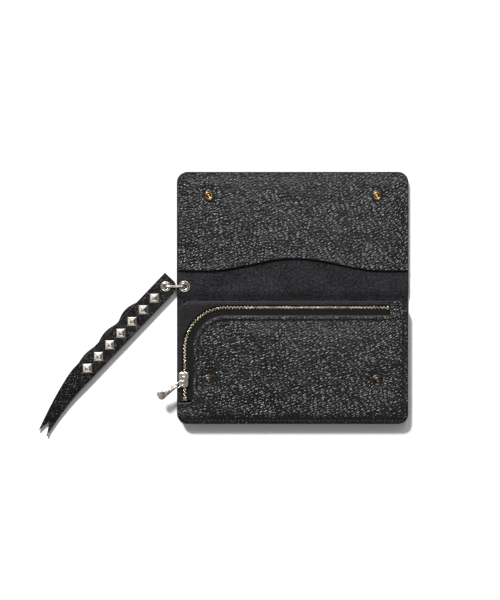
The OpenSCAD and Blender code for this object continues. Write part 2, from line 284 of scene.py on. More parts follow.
def leather(name, outline, z_low, z_high, edge_r, material, holes=(), spacing=2.0, top=None,
            low=None, edge_step=1.0, under=None, open_y=None):
    """A sheet with a rounded edge. top and low add to the upper and lower surfaces at each point.
    Along open_y it has no edge, because it runs on into the next sheet."""
    top = top or (lambda p: np.zeros(len(p)))
    low = low or (lambda p: np.zeros(len(p)))
    outer = dense(outline, edge_step)
    loops = [outer] + [dense(h, 0.6) for h in holes]
    verts, faces, tops = [], [], []

    def add(points, z):
        first = len(verts)
        verts.extend((float(p[0]), float(p[1]), float(h)) for p, h in zip(points, z))
        return first

    inner_loops = []
    for k, loop in enumerate(loops):
        rounded = np.full(len(loop), edge_r if k == 0 else 0.0)
        if open_y is not None:
            rounded[np.abs(np.array(loop)[:, 1] - open_y) < 1e-6] = 0.0
        r = rounded[:, None]
        angles = [0, 22.5, 45, 67.5, 90] if k == 0 else [90]
        rings = []
        for a in angles:
            c, s = math.cos(math.radians(a)), math.sin(math.radians(a))
            p = inset(loop, r * (1 - s))
            rings.append((p, z_high + top(np.array(p)) - rounded * (1 - c)))
        for a in reversed(angles):
            c, s = math.cos(math.radians(a)), math.sin(math.radians(a))
            p = inset(loop, r * (1 - s))
            rings.append((p, z_low + low(np.array(p)) + rounded * (1 - c)))
        firsts = [add(p, z) for p, z in rings]
        n = len(loop)
        for a, b in zip(firsts, firsts[1:]):
            for i in range(n):
                j = (i + 1) % n
                if k == 0 and rounded[i] == 0.0 and rounded[j] == 0.0:
                    continue
                quad = (a + j, a + i, b + i, b + j)
                faces.append(quad if k == 0 else tuple(reversed(quad)))
        inner_loops.append([tuple(p) for p in rings[0][0]])
    for face_up, net in ((True, spacing), (False, max(spacing, 4.0))):
        pts, tris = fill(inner_loops, net)
        z = z_high + top(pts) if face_up else z_low + low(pts)
        first = add(pts, z)
        for f in tris:
            tri = tuple(first + i for i in f)
            if face_up:
                tops.append(len(faces))
            faces.append(tri if face_up else tuple(reversed(tri)))
    obj = make_object(name, verts, faces, material)
    if under is not None:
        obj.data.materials.append(under)
        high_faces = set(tops)
        for i, poly in enumerate(obj.data.polygons):
            poly.material_index = 0 if i in high_faces else 1
    return cleaned(obj, 0.00001, outwards=False)


def lathe(name, profile, centre, material, steps=64):
    """A closed profile of (radius, height), turned round the Z axis at centre."""
    verts = []
    for i in range(steps):
        a = 2 * math.pi * i / steps
        verts += [(centre[0] + r * math.cos(a), centre[1] + r * math.sin(a), centre[2] + z)
                  for r, z in profile]
    obj = make_object(name, verts, bands(steps, len(profile), closed=True), material)
    return cleaned(obj, 0.000002)


def wire_loop(name, points, radius, material, sides, up):
    """A round wire along a closed loop of points; up is a direction that the wire never takes."""
    pts = [Vector(p) for p in points]
    verts = []
    for i, p in enumerate(pts):
        t = (pts[(i + 1) % len(pts)] - pts[i - 1]).normalized()
        side = t.cross(up).normalized()
        other = side.cross(t).normalized()
        for k in range(sides):
            w = 2 * math.pi * k / sides
            verts.append(tuple(p + radius * (math.cos(w) * side + math.sin(w) * other)))
    return cleaned(make_object(name, verts, bands(len(pts), sides, closed=True), material))


def walk(line, spacing, start=0.0):
    """Points evenly spaced along a line, each with its direction."""
    p = np.array(line)
    seg = np.linalg.norm(np.diff(p, axis=0), axis=1)
    s = np.concatenate([[0], np.cumsum(seg)])
    out = []
    at = start
    while at < s[-1]:
        k = min(int(np.searchsorted(s, at, "right")) - 1, len(seg) - 1)
        t = (at - s[k]) / seg[k]
        q = p[k] + (p[k + 1] - p[k]) * t
        d = (p[k + 1] - p[k]) / seg[k]
        out.append((q, d))
        at += spacing
    return out


def copies(name, shape, places, material):
    """One mesh of the same (points, faces) at many places: (origin, x axis, y axis, z axis)."""
    shape_verts, shape_faces = shape
    verts, faces = [], []
    for origin, ax, ay, az in places:
        first = len(verts)
        for v in shape_verts:
            verts.append(tuple(origin[k] + v[0] * ax[k] + v[1] * ay[k] + v[2] * az[k] for k in range(3)))
        faces += [tuple(first + i for i in f) for f in shape_faces]
    return make_object(name, verts, faces, material)


def capsule(length, radius, sides=8):
    """A thread stitch: a fat rod that dives at both ends."""
    rings = [(-0.5, 0.25, -0.8), (-0.42, 0.8, -0.25), (-0.25, 1, 0.0), (0, 1.05, 0.08),
             (0.25, 1, 0.0), (0.42, 0.8, -0.25), (0.5, 0.25, -0.8)]
    verts = []
    for at, scale, drop in rings:
        for k in range(sides):
            w = 2 * math.pi * k / sides
            verts.append((at * length, radius * scale * math.cos(w),
                          radius * (scale * math.sin(w) + drop)))
    return verts, bands(len(rings), sides)


def chamfer_box(lx, ly, lz, c):
    """A box with chamfered edges, centred."""
    bm = bmesh.new()
    bmesh.ops.create_cube(bm, size=1.0)
    for v in bm.verts:
        v.co = Vector((v.co.x * lx, v.co.y * ly, v.co.z * lz))
    bmesh.ops.bevel(bm, geom=bm.edges[:], offset=c, segments=2, affect="EDGES", profile=0.5)
    verts = [tuple(v.co) for v in bm.verts]
    faces = [tuple(v.index for v in f.verts) for f in bm.faces]
    bm.free()
    return verts, faces


def stitches(name, line, height, body, spacing=3.2, length=2.5):
    """A row of thread stitches along a line; height gives the leather's height at each point."""
    places = []
    for q, d in walk(line, spacing, spacing / 2):
        z = height(np.array([q]))[0]
        places.append(((q[0], q[1], z), (d[0], d[1], 0), (-d[1], d[0], 0), (0, 0, 1)))
    obj = copies(name, capsule(length, 0.3), places, THREAD)
    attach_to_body(obj, body)


# ---- materials ----
class Nodes:
    """Small helper that wires shader nodes. bends is for leather that a fold reshapes: its
    pattern then follows the resting shape."""

    def __init__(self, name, bends=False):
        self.mat = bpy.data.materials.new(name)
        self.mat.use_nodes = True
        self.tree = self.mat.node_tree
        self.shader = self.tree.nodes["Principled BSDF"]
        if bends:
            self.coords = self.new("ShaderNodeUVMap", uv_map="rest").outputs["UV"]
        else:
            self.coords = self.new("ShaderNodeTexCoord").outputs["Object"]

    def new(self, kind, **settings):
        node = self.tree.nodes.new(kind)
        for key, value in settings.items():
            setattr(node, key, value)
        return node

    def link(self, a, b):
        self.tree.links.new(a, b)

    def mapped(self, scale=(1, 1, 1), turn=0.0, source=None):
        """Turned first, then scaled, so a scale below 1 draws the pattern out along turn."""
        node = self.new("ShaderNodeMapping", vector_type="TEXTURE")
        node.inputs["Scale"].default_value = [1 / s for s in scale]
        node.inputs["Rotation"].default_value = (0, 0, turn)
        self.link(source or self.coords, node.inputs["Vector"])
        return node.outputs["Vector"]

    def noise(self, scale, detail=3.0, rough=0.5, vector=None, output="Fac"):
        node = self.new("ShaderNodeTexNoise")
        node.inputs["Scale"].default_value = scale
        node.inputs["Detail"].default_value = detail
        node.inputs["Roughness"].default_value = rough
        self.link(vector or self.coords, node.inputs["Vector"])
        return node.outputs[output]

    def to_edge(self, scale, vector):
        """How far each point is from the line between its cell and the next."""
        node = self.new("ShaderNodeTexVoronoi", feature="DISTANCE_TO_EDGE", voronoi_dimensions="2D")
        node.inputs["Scale"].default_value = scale
        self.link(vector, node.inputs["Vector"])
        return node.outputs["Distance"]

    def span(self, value, low, high, to_low=0.0, to_high=1.0):
        node = self.new("ShaderNodeMapRange", interpolation_type="SMOOTHSTEP")
        node.inputs["From Min"].default_value = low
        node.inputs["From Max"].default_value = high
        node.inputs["To Min"].default_value = to_low
        node.inputs["To Max"].default_value = to_high
        self.link(value, node.inputs["Value"])
        return node.outputs["Result"]

    def math(self, operation, a, b):
        node = self.new("ShaderNodeMath", operation=operation)
        for socket, value in zip(node.inputs, (a, b)):
            if isinstance(value, (int, float)):
                socket.default_value = value
            else:
                self.link(value, socket)
        return node.outputs[0]

    def weigh(self, *terms):
        """The sum of the values, each times its weight."""
        total = self.math("MULTIPLY", *terms[0])
        for value, weight in terms[1:]:
            total = self.math("ADD", total, self.math("MULTIPLY", value, weight))
        return total

    def colours(self, value, stops):
        node = self.new("ShaderNodeValToRGB")
        ramp = node.color_ramp
        while len(ramp.elements) < len(stops):
            ramp.elements.new(0.5)
        for element, (at, rgb) in zip(ramp.elements, stops):
            element.position = at
            element.color = (*rgb, 1)
        self.link(value, node.inputs["Fac"])
        return node.outputs["Color"]

    def bump(self, height, distance, strength=1.0, normal=None):
        node = self.new("ShaderNodeBump")
        node.inputs["Distance"].default_value = distance
        node.inputs["Strength"].default_value = strength
        self.link(height, node.inputs["Height"])
        if normal is not None:
            self.link(normal, node.inputs["Normal"])
        return node.outputs["Normal"]

    def set(self, **values):
        names = {"color": "Base Color", "rough": "Roughness", "metal": "Metallic",
                 "normal": "Normal", "sheen": "Sheen Weight", "sheen_rough": "Sheen Roughness",
                 "gloss": "Specular IOR Level"}
        for key, value in values.items():
            socket = self.shader.inputs[names[key]]
            if isinstance(value, bpy.types.NodeSocket):
                self.link(value, socket)
            else:
                socket.default_value = (*value, 1) if isinstance(value, tuple) else value
        return self.mat


def pebbled_leather(name, dark, light, cell=1.75, turn=0.68, depth=0.00038, stretch=0.5,
                    shine=0.3, bends=False):
    """Full-grain leather: rounded pebbles between creases, drawn out along the hide. Its base colour is
    darkened in the creases, which is painted shade.
    """
    m = Nodes(name, bends)
    shift = m.new("ShaderNodeVectorMath", operation="SCALE")
    m.link(m.noise(160, 2.0, output="Color"), shift.inputs[0])
    shift.inputs["Scale"].default_value = 0.001
    moved = m.new("ShaderNodeVectorMath", operation="ADD")
    m.link(m.coords, moved.inputs[0])
    m.link(shift.outputs[0], moved.inputs[1])
    along = m.mapped((stretch, 1.0, 0.8), turn, moved.outputs[0])
    edge = m.to_edge(1000 / cell, along)
    pebble = m.span(edge, 0.0, 0.48)
    # painted-shade mask: near 0 in the creases between pebbles, where the base colour is darkened to paint
    # the shade there
    crease = m.span(edge, 0.0, 0.13)
    small_edge = m.to_edge(2200 / cell, along)
    small = m.span(small_edge, 0.0, 0.4)
    fine = m.noise(5200, 3.0)
    patch = m.noise(28, 3.0)
    height = m.weigh((pebble, 0.8), (small, 0.1), (fine, 0.03))
    wave = m.bump(m.noise(55, 3.0), 0.003, 0.6)
    normal = m.bump(height, depth, 1.0, wave)
    # base colour: painted shade darkens the creases; the slow patch noise is the hide's real uneven tone
    color = m.colours(m.weigh((crease, 0.6), (patch, 0.5)), [(0.15, dark), (0.95, light)])
    rough = m.span(m.weigh((fine, 0.5), (patch, 0.5)), 0.25, 0.75, 0.24, 0.34)
    return m.set(color=color, rough=rough, normal=normal, gloss=shine)


def smooth_leather(name, dark, light):
    """Thin smooth-grained leather with fine creases."""
    m = Nodes(name)
    edge = m.to_edge(900, m.mapped((1, 0.5, 1), 0.78))
    grain = m.span(edge, 0.0, 0.3)
    fine = m.noise(4000, 3.0)
    patch = m.noise(70, 3.0)
    height = m.weigh((grain, 0.5), (fine, 0.3))
    wave = m.bump(patch, 0.0014, 0.5)
    normal = m.bump(height, 0.0003, 1.0, wave)
    color = m.colours(patch, [(0.3, dark), (0.75, light)])
    rough = m.span(patch, 0.3, 0.7, 0.3, 0.44)
    dull = m.span(grain, 0.1, 0.9, 0.3, 0.0)
    return m.set(color=color, rough=m.math("ADD", rough, dull), normal=normal, gloss=0.28)


def suede(name, dark, light):
    """Flesh side of the hide: a short matt nap with a mottled tone."""
    m = Nodes(name, bends=True)
    nap = m.noise(950, 5.0, 0.75)
    mottle = m.noise(480, 4.0, 0.7)
    patch = m.noise(45, 3.0)
    tone = m.weigh((nap, 0.5), (mottle, 0.35), (patch, 0.15))
    color = m.colours(tone, [(0.43, dark), (0.62, light)])
    normal = m.bump(m.weigh((nap, 0.6), (mottle, 0.5)), 0.0014)
    return m.set(color=color, rough=0.92, normal=normal, gloss=0.12, sheen=0.03, sheen_rough=0.5)


def worn_metal(name, dark, light, rough_low, rough_high):
    """Plated metal with tiny scratches and a slightly uneven polish."""
    m = Nodes(name)
    haze = m.noise(320, 4.0, 0.6)
    scratch = m.noise(900, 2.0, 0.5, m.mapped((1, 0.08, 1), 0.5))
    color = m.colours(haze, [(0.3, dark), (0.7, light)])
    rough = m.span(haze, 0.3, 0.7, rough_low, rough_high)
    normal = m.bump(m.math("ADD", scratch, haze), 0.00001)
    return m.set(color=color, rough=rough, metal=1.0, normal=normal)


def woven_tape(name, dark, light):
    """Zip tape: a tight herringbone, from UVs that run along and across the tape."""
    m = Nodes(name)
    uv = m.new("ShaderNodeUVMap", uv_map="tape").outputs["UV"]
    split = m.new("ShaderNodeSeparateXYZ")
    m.link(uv, split.inputs[0])
    zigzag = m.math("PINGPONG", split.outputs["Y"], 0.9)
    phase = m.weigh((split.outputs["X"], 5.6), (zigzag, 5.6))
    twill = m.span(m.math("SINE", phase, 0.0), -1.0, 1.0)
    fuzz = m.noise(3500, 3.0)
    height = m.weigh((twill, 1.0), (fuzz, 0.4))
    color = m.colours(m.weigh((twill, 0.5), (fuzz, 0.5)), [(0.2, dark), (0.9, light)])
    return m.set(color=color, rough=0.8, normal=m.bump(height, 0.00022), gloss=0.2, sheen=0.04,
                 sheen_rough=0.5)


def thread_material(name, dark, light):
    m = Nodes(name)
    twist = m.noise(2500, 2.0)
    color = m.colours(twist, [(0.3, dark), (0.7, light)])
    return m.set(color=color, rough=0.42, normal=m.bump(twist, 0.0001), gloss=0.3)


def edge_leather(name, dark, light):
    """Burnished cut edge, with faint layers of hide."""
    m = Nodes(name)
    fibre = m.noise(1500, 4.0, 0.6, m.mapped((1, 1, 4.0)))
    color = m.colours(fibre, [(0.3, dark), (0.75, light)])
    rough = m.span(fibre, 0.3, 0.7, 0.45, 0.65)
    return m.set(color=color, rough=rough, normal=m.bump(fibre, 0.00015), gloss=0.3)


PEBBLE = pebbled_leather("pebbled_leather", (0.0004, 0.0004, 0.0005), (0.0055, 0.0055, 0.006))
OUTER = pebbled_leather("outer_leather", (0.001, 0.001, 0.0011), (0.009, 0.009, 0.0095), turn=0.4,
                        bends=True)
SMOOTH = smooth_leather("smooth_leather", (0.0012, 0.0012, 0.0013), (0.007, 0.007, 0.0072))
STRAP = pebbled_leather("strap_leather", (0.0008, 0.0008, 0.0008), (0.0062, 0.006, 0.0058), cell=1.3,
                        turn=0.8, depth=0.0003, shine=0.16)
SUEDE = suede("suede", (0.0015, 0.0015, 0.0018), (0.05, 0.05, 0.056))
EDGE = edge_leather("cut_edge", (0.004, 0.003, 0.004), (0.016, 0.011, 0.016))
THREAD = thread_material("black_thread", (0.014, 0.014, 0.0145), (0.05, 0.05, 0.052))
TAPE = woven_tape("zip_tape_weave", (0.001, 0.001, 0.001), (0.0095, 0.0095, 0.0095))
NICKEL = worn_metal("nickel", (0.66, 0.6, 0.52), (0.86, 0.81, 0.74), 0.14, 0.26)
GOLD = worn_metal("pale_brass", (0.62, 0.52, 0.33), (0.9, 0.82, 0.62), 0.18, 0.32)
BRASS = worn_metal("bright_brass", (0.45, 0.27, 0.09), (0.75, 0.5, 0.2), 0.2, 0.34)
DARK_METAL = worn_metal("dark_antique_metal", (0.035, 0.03, 0.025), (0.15, 0.125, 0.1), 0.2, 0.36)
WORN_SILVER = worn_metal("worn_silver", (0.3, 0.26, 0.21), (0.66, 0.6, 0.52), 0.16, 0.34)
LINING = suede("lining_cloth", (0.004, 0.004, 0.004), (0.012, 0.012, 0.012))


def smoothstep(x, a, b):
    t = np.clip((x - a) / (b - a), 0, 1)
    return t * t * (3 - 2 * t)


def ripple(p, seed, scale=60.0):
    """Slow hand-made unevenness, about -1 to 1."""
    x, y = p[:, 0] / scale, p[:, 1] / scale
    return (np.sin(3.1 * x + 1.7 * y + seed) + np.sin(-2.3 * x + 4.1 * y + 2.2 * seed)
            + np.sin(5.3 * x + 0.9 * y + 3.7 * seed)) / 3


# ---- the folding cover ----
def cover_rise(p):
    """The cover climbs from the lower half's level to the spine's."""
    return LIFT * smoothstep(p[:, 1], POUCH_Y1 + 0.4, CREASE_LOW + 2.2)


EYE_R = 2.65


def half_cover(name, far_y):
    """One half of the cover; the halves meet along the middle of the spine, round the eyelet."""
    r = CORNER_R
    lower = far_y < SPINE_MID
    notch = arc(WALLET_EYE[0], SPINE_MID, EYE_R, 180, 360 if lower else 0, 18)
    if lower:
        outline = (arc(-HALF_W + r, far_y + r, r, 180, 270, 12)
                   + arc(HALF_W - r, far_y + r, r, 270, 360, 12)
                   + [(HALF_W, SPINE_MID)] + list(reversed(notch)) + [(-HALF_W, SPINE_MID)])
    else:
        outline = ([(-HALF_W, SPINE_MID)] + notch + [(HALF_W, SPINE_MID)]
                   + arc(HALF_W - r, far_y - r, r, 0, 90, 12)
                   + arc(-HALF_W + r, far_y - r, r, 90, 180, 12))
    obj = leather(name, outline, 0.0, COVER_T, 0.7, SUEDE, spacing=3.0, edge_step=1.2,
                  top=cover_rise, low=cover_rise, under=OUTER, open_y=SPINE_MID)
    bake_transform(obj)
    return obj


cover_low = half_cover("cover_lower", COVER_LOW[1])
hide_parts("cover_lower_panel", "cover_spine_panel")
cover_high = half_cover("cover_upper", FLAP_HIGH[1])
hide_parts("cover_flap_panel")


# ---- the flap's pocket ----
def mouth_y(x):
    """The pocket's mouth: level at both ends, with one broad wave in the middle."""
    return 23.5 + 10.3 * (0.5 + 0.5 * math.cos(math.pi * min(abs(x - 2) / 74, 1)))


POCKET_X = POCKET_HIGH[0]
SEAM_IN = 2.6
SNAP_X = centre_of("snap_socket_right")[0]
FLAP_SNAP_Y = centre_of("snap_socket_right")[1]
POUCH_SNAP_Y = centre_of("snap_stud_right")[1]


def dimple(p, y, depth, reach=9.0):
    """The leather is pulled down round each snap."""
    out = np.zeros(len(p))
    for side in (-1, 1):
        d = np.hypot(p[:, 0] - side * SNAP_X, p[:, 1] - y)
        out -= depth * np.exp(-(d / reach) ** 2)
    return out


def pocket_top(p):
    """Height of the flap's pocket over its flat level."""
    edge = np.minimum(np.minimum(POCKET_X - np.abs(p[:, 0]), POCKET_HIGH[1] - p[:, 1]), 14.0)
    groove = -0.22 * np.exp(-((edge - SEAM_IN) / 0.8) ** 2)
    pillow = 0.5 * smoothstep(edge, 2.0, 12.0)
    mouth = np.array([q[1] - mouth_y(q[0]) for q in p])
    lip = 0.35 * np.exp(-(mouth / 5.0) ** 2)
    swell = 0.22 * ripple(p, 1.3) * smoothstep(edge, 3.0, 12.0)
    return groove + pillow + lip + swell + dimple(p, FLAP_SNAP_Y, 0.65)


mouth_line = [(-POCKET_X + 2 * POCKET_X * i / 64, mouth_y(-POCKET_X + 2 * POCKET_X * i / 64))
              for i in range(65)]
pocket_r = CORNER_R - 0.6
pocket = leather(
    "flap_pocket", mouth_line
    + arc(POCKET_X - pocket_r, POCKET_HIGH[1] - pocket_r, pocket_r, 0, 90, 12)
    + arc(-POCKET_X + pocket_r, POCKET_HIGH[1] - pocket_r, pocket_r, 90, 180, 12),
    INNER_Z + 0.02, POCKET_Z, 0.6, PEBBLE, spacing=1.5, top=pocket_top, under=EDGE)
attach(pocket, "flap_pocket_panel", "flap")

pocket_seam = ([(-POCKET_X + SEAM_IN, mouth_y(-POCKET_X) + 1.5)]
               + arc(-POCKET_X + pocket_r, POCKET_HIGH[1] - pocket_r, pocket_r - SEAM_IN, 180, 90, 10)
               + arc(POCKET_X - pocket_r, POCKET_HIGH[1] - pocket_r, pocket_r - SEAM_IN, 90, 0, 10)
               + [(POCKET_X - SEAM_IN, mouth_y(POCKET_X) + 1.5)])
stitches("flap_stitching", pocket_seam, lambda p: POCKET_Z + pocket_top(p) + 0.1, "flap")


# ---- the pouch ----
BAND = 4.6
inner_edge = zip_line(-SLOT_INNER, SEAM_X, TAB_Y + 3)
band_line = zip_line(-SLOT_INNER - BAND, SEAM_X, TAB_Y - 2)
MARK = (-7.0, -33.0, 17.5, 6.2)


def pouch_edge(p):
    """Distance in from the sewn right and bottom edges."""
    return np.minimum(POUCH_X - p[:, 0], p[:, 1] - POUCH_Y0)


def mark_depth(p):
    """A plain blind-stamped lozenge with a line round it."""
    u = np.abs(p[:, 0] - MARK[0]) / MARK[2] + np.abs(p[:, 1] - MARK[1]) / MARK[3]
    return -0.22 * np.exp(-((u - 1.0) / 0.09) ** 2) - 0.12 * (u < 0.55)


def front_top(p):
    """Height of the pouch's front over its flat level: low at the sewn edges, full inside."""
    edge = pouch_edge(p)
    sewn = smoothstep(edge, 0.5, 9.0)
    seam = -0.25 * np.exp(-((edge - 3.0) / 0.8) ** 2)
    from_band = distance_to(p, band_line)
    from_edge = distance_to(p, inner_edge)
    on_band = from_edge < BAND + 0.5
    crease = -0.35 * np.exp(-(from_band / 0.9) ** 2)
    pillow = 0.95 * sewn * smoothstep(from_edge, 4.0, 22.0)
    fold = 0.3 * smoothstep(from_edge, 0.0, 1.6) * (1 - smoothstep(from_edge, 3.0, 5.0)) * on_band
    swell = 0.28 * ripple(p, 2.6) * smoothstep(np.minimum(edge, from_edge), 6.0, 20.0)
    sink = -0.55 * (1 - smoothstep(edge, 0.0, 5.0))
    tab = (p[:, 0] < ZIP_X + SLOT_INNER) * np.exp(-((p[:, 1] - TAB_Y + 1.6) / 1.4) ** 2)
    return (sink + seam + crease + pillow + fold + swell + 0.4 * tab + mark_depth(p)
            + dimple(p, POUCH_SNAP_Y, 0.9))


front_outline = (
    [(SEAM_X, POUCH_Y1)] + inner_edge
    + arc(ZIP_X + SLOT_INNER - 3, TAB_Y + 3, 3, 0, -90, 6)
    + [(-POUCH_X, TAB_Y)]
    + arc(-POUCH_X + POUCH_R, POUCH_Y0 + POUCH_R, POUCH_R, 180, 270, 12)
    + arc(POUCH_X - POUCH_R, POUCH_Y0 + POUCH_R, POUCH_R, 270, 360, 12)
    + arc(POUCH_X - POUCH_R, POUCH_Y1 - POUCH_R, POUCH_R, 0, 90, 12))
front = leather("pouch_front", front_outline, FRONT_Z0 - 0.5, POUCH_TOP, 0.55, PEBBLE,
                spacing=1.25, top=front_top, under=EDGE)
attach(front, "pouch_front_panel", "pouch")


def surround_top(p):
    edge = np.minimum(p[:, 0] + POUCH_X, POUCH_Y1 - p[:, 1])
    return -0.5 * (1 - smoothstep(edge, 0.0, 3.5)) + 0.12 * ripple(p, 4.1, 25.0)


surround = leather(
    "zip_surround",
    [(SEAM_X - 0.4, POUCH_Y1)]
    + arc(-POUCH_X + POUCH_R_LEFT, POUCH_Y1 - POUCH_R_LEFT, POUCH_R_LEFT, 90, 180, 14)
    + [(-POUCH_X, TAB_Y + 0.4), (ZIP_X - SLOT_OUTER, TAB_Y + 0.4)]
    + list(reversed(zip_line(SLOT_OUTER, SEAM_X - 0.4, TAB_Y + 3))),
    FRONT_Z0 - 0.2, POUCH_TOP, 0.5, SMOOTH, spacing=1.2, top=surround_top, under=EDGE)
attach(surround, "pouch_zip_surround", "pouch")

# the gusset: stacked, slightly bulging layers all round
wall_outline = round_box(-POUCH_X, POUCH_Y0, POUCH_X, POUCH_Y1, POUCH_R, POUCH_R, POUCH_R,
                         POUCH_R_LEFT)


def ring_wall(name, outline, z0, z1, layers, bulge, thickness, material):
    """An upright wall round an outline, of stacked layers that each bulge outwards."""
    loop = dense(outline, 1.6)
    profile = [(thickness, z0), (0.35, z0)]
    steps = 6
    for k in range(layers):
        low, high = z0 + (z1 - z0) * k / layers, z0 + (z1 - z0) * (k + 1) / layers
        for i in range(steps):
            t = (i + 0.5) / steps
            profile.append((-bulge * math.sin(math.pi * t) + 0.3, low + (high - low) * t))
    profile += [(0.35, z1), (thickness, z1)]
    verts = [(p[0], p[1], z) for d, z in profile for p in inset(loop, d)]
    return make_object(name, verts, bands(len(profile), len(loop), closed=True), material)


wall = ring_wall("pouch_gusset", wall_outline, BACK_HIGH[2] - 0.1, FRONT_Z0 + 0.3, 3, 0.28, 1.8,
                 SMOOTH)
attach(wall, "pouch_side_wall", "pouch")

back = leather("pouch_back", wall_outline, COVER_T + 0.02, BACK_HIGH[2], 0.5, SMOOTH, spacing=8.0)
attach(back, "pouch_back_panel", "pouch")

STITCH_IN = 3.0
stitch_r = POUCH_R - STITCH_IN
front_seam = ([(SEAM_X + 2.2, ZIP_Y - SLOT_INNER + 1), (SEAM_X + 2.2, POUCH_Y1 - STITCH_IN)]
              + arc(POUCH_X - POUCH_R, POUCH_Y1 - POUCH_R, stitch_r, 90, 0, 8)
              + arc(POUCH_X - POUCH_R, POUCH_Y0 + POUCH_R, stitch_r, 360, 270, 8)
              + arc(-POUCH_X + POUCH_R, POUCH_Y0 + POUCH_R, stitch_r, 270, 180, 8)
              + [(-POUCH_X + STITCH_IN, TAB_Y - 2)])


def on_front(p):
    return POUCH_TOP + front_top(p) + 0.1


stitches("pouch_edge_stitching", front_seam, on_front, "pouch")
for name, inwards in (("zip_band_stitching", 2.6), ("zip_fold_stitching", 5.9)):
    stitches(name, zip_line(-SLOT_INNER - inwards, SEAM_X - 2, TAB_Y + 2), on_front, "pouch",
             spacing=2.8, length=2.1)


# ---- the zip ----
def tape(name, o1, o2, z, thickness, node):
    """Zip tape between the offsets o1 and o2 from the zip's line."""
    line = dense(zip_line(0, ZIP_RIGHT + 2, ZIP_BOTTOM - 3, 40), 1.0, closed=False)
    p = np.array(line)
    t = np.gradient(p, axis=0)
    t /= np.linalg.norm(t, axis=1)[:, None]
    outward = np.stack([t[:, 1], -t[:, 0]], 1)
    s = np.concatenate([[0], np.cumsum(np.linalg.norm(np.diff(p, axis=0), axis=1))])
    across = np.linspace(o1, o2, 9)
    verts, uvs = [], []
    for level in (z + thickness, z):
        for i in range(len(p)):
            for o in across:
                q = p[i] + outward[i] * o
                verts.append((q[0], q[1], level))
                uvs.append((s[i], o))
    obj = make_object(name, verts, slab_faces(len(p), len(across)), TAPE)
    layer_uv = obj.data.uv_layers.new(name="tape")
    for loop in obj.data.loops:
        layer_uv.data[loop.index].uv = uvs[loop.vertex_index]
    attach(cleaned(obj), node, "pouch")


TAPE_Z = TEETH_LOW[2]
tape("tape_outer", 0.15, 3.4, TAPE_Z + 0.1, 0.6, "zip_tape_outer")
tape("tape_inner", -7.8, -0.15, TAPE_Z + 0.1, 0.6, "zip_tape_inner")

TOOTH_PITCH = 2.9
tooth = chamfer_box(1.1, 1.6, 1.6, 0.26)
chain = dense(zip_line(0, ZIP_RIGHT, ZIP_BOTTOM, 60), 0.5, closed=False)
for side, node in ((1, "zip_teeth_outer"), (-1, "zip_teeth_inner")):
    places = []
    for q, d in walk(chain, TOOTH_PITCH, 0.6 + (TOOTH_PITCH / 2 if side > 0 else 0)):
        out = (d[1] * side, -d[0] * side)
        origin = (q[0] + out[0] * 0.42, q[1] + out[1] * 0.42, TAPE_Z + 1.15)
        places.append((origin, (d[0], d[1], 0), (out[0], out[1], 0), (0, 0, 1)))
    teeth = copies(node.replace("zip_teeth", "teeth"), tooth, places, GOLD)
    attach(teeth, node, "pouch")


def solid(name, outline, z0, z1, bevel, material, spacing, top=None):
    return leather(name, outline, z0, z1, bevel, material, spacing=spacing, edge_step=0.6, top=top)


def join(name, objects):
    """Several meshes made into one object."""
    with bpy.context.temp_override(active_object=objects[0], object=objects[0],
                                   selected_objects=objects, selected_editable_objects=objects):
        bpy.ops.object.join()
    objects[0].name = name
    return objects[0]


stop_low, stop_high = box_mm("zip_bottom_stop")
stop_x, stop_y = centre_of("zip_bottom_stop")[:2]
star = []
for i in range(4):
    a = math.radians(45 + 90 * i)
    b = math.radians(90 + 90 * i)
    star += [(stop_x + 2.7 * math.cos(a), stop_y + 2.3 * math.sin(a)),
             (stop_x + 1.35 * math.cos(b), stop_y + 1.2 * math.sin(b))]
bottom_stop = solid("bottom_stop", star, stop_low[2], stop_high[2], 0.3, NICKEL, spacing=1.0)
attach(bottom_stop, "zip_bottom_stop", "pouch")

top_low, top_high = box_mm("zip_top_stop")
top_stop = solid("top_stop", round_box(top_low[0], top_low[1], top_high[0], top_high[1],
                                       0.6, 0.6, 0.6, 0.6, 6), top_low[2], top_high[2], 0.3, GOLD,
                 spacing=1.0)
attach(top_stop, "zip_top_stop", "pouch")

# ---- slider and pull ----
SLIDER_LOW = box_mm("zip_slider")[0]
SLIDER_X, SLIDER_Y = centre_of("zip_slider")[:2]
PLATE_Z0, PLATE_Z1 = POUCH_TOP + 0.4, POUCH_TOP + 1.4
PIVOT = (-91.6, -69.2, PLATE_Z1 + 0.9)
PULL = math.radians(211)


def slider_outline(cx, cy, w, l, waist):
    """Two shoulders at the head, a waist and a narrower tail."""
    pts = []
    n = 40
    for i in range(n):
        a = 2 * math.pi * i / n
        x, y = math.cos(a), math.sin(a)
        power = 0.55
        px = math.copysign(abs(x) ** power, x) * w / 2
        py = math.copysign(abs(y) ** power, y) * l / 2
        squeeze = 1 - waist * math.exp(-((py + 0.12 * l) / (0.16 * l)) ** 2)
        pts.append((cx + px * squeeze, cy + py))
    return pts


def slider_crown(p):
    """A domed plate, higher along its middle and over its two lobes."""
    across = 1 - np.clip(np.abs(p[:, 0] - SLIDER_X) / 4.2, 0, 1) ** 2
    along = 1 - np.clip(np.abs(p[:, 1] - SLIDER_Y) / 6.4, 0, 1) ** 4
    return 0.75 * across * along


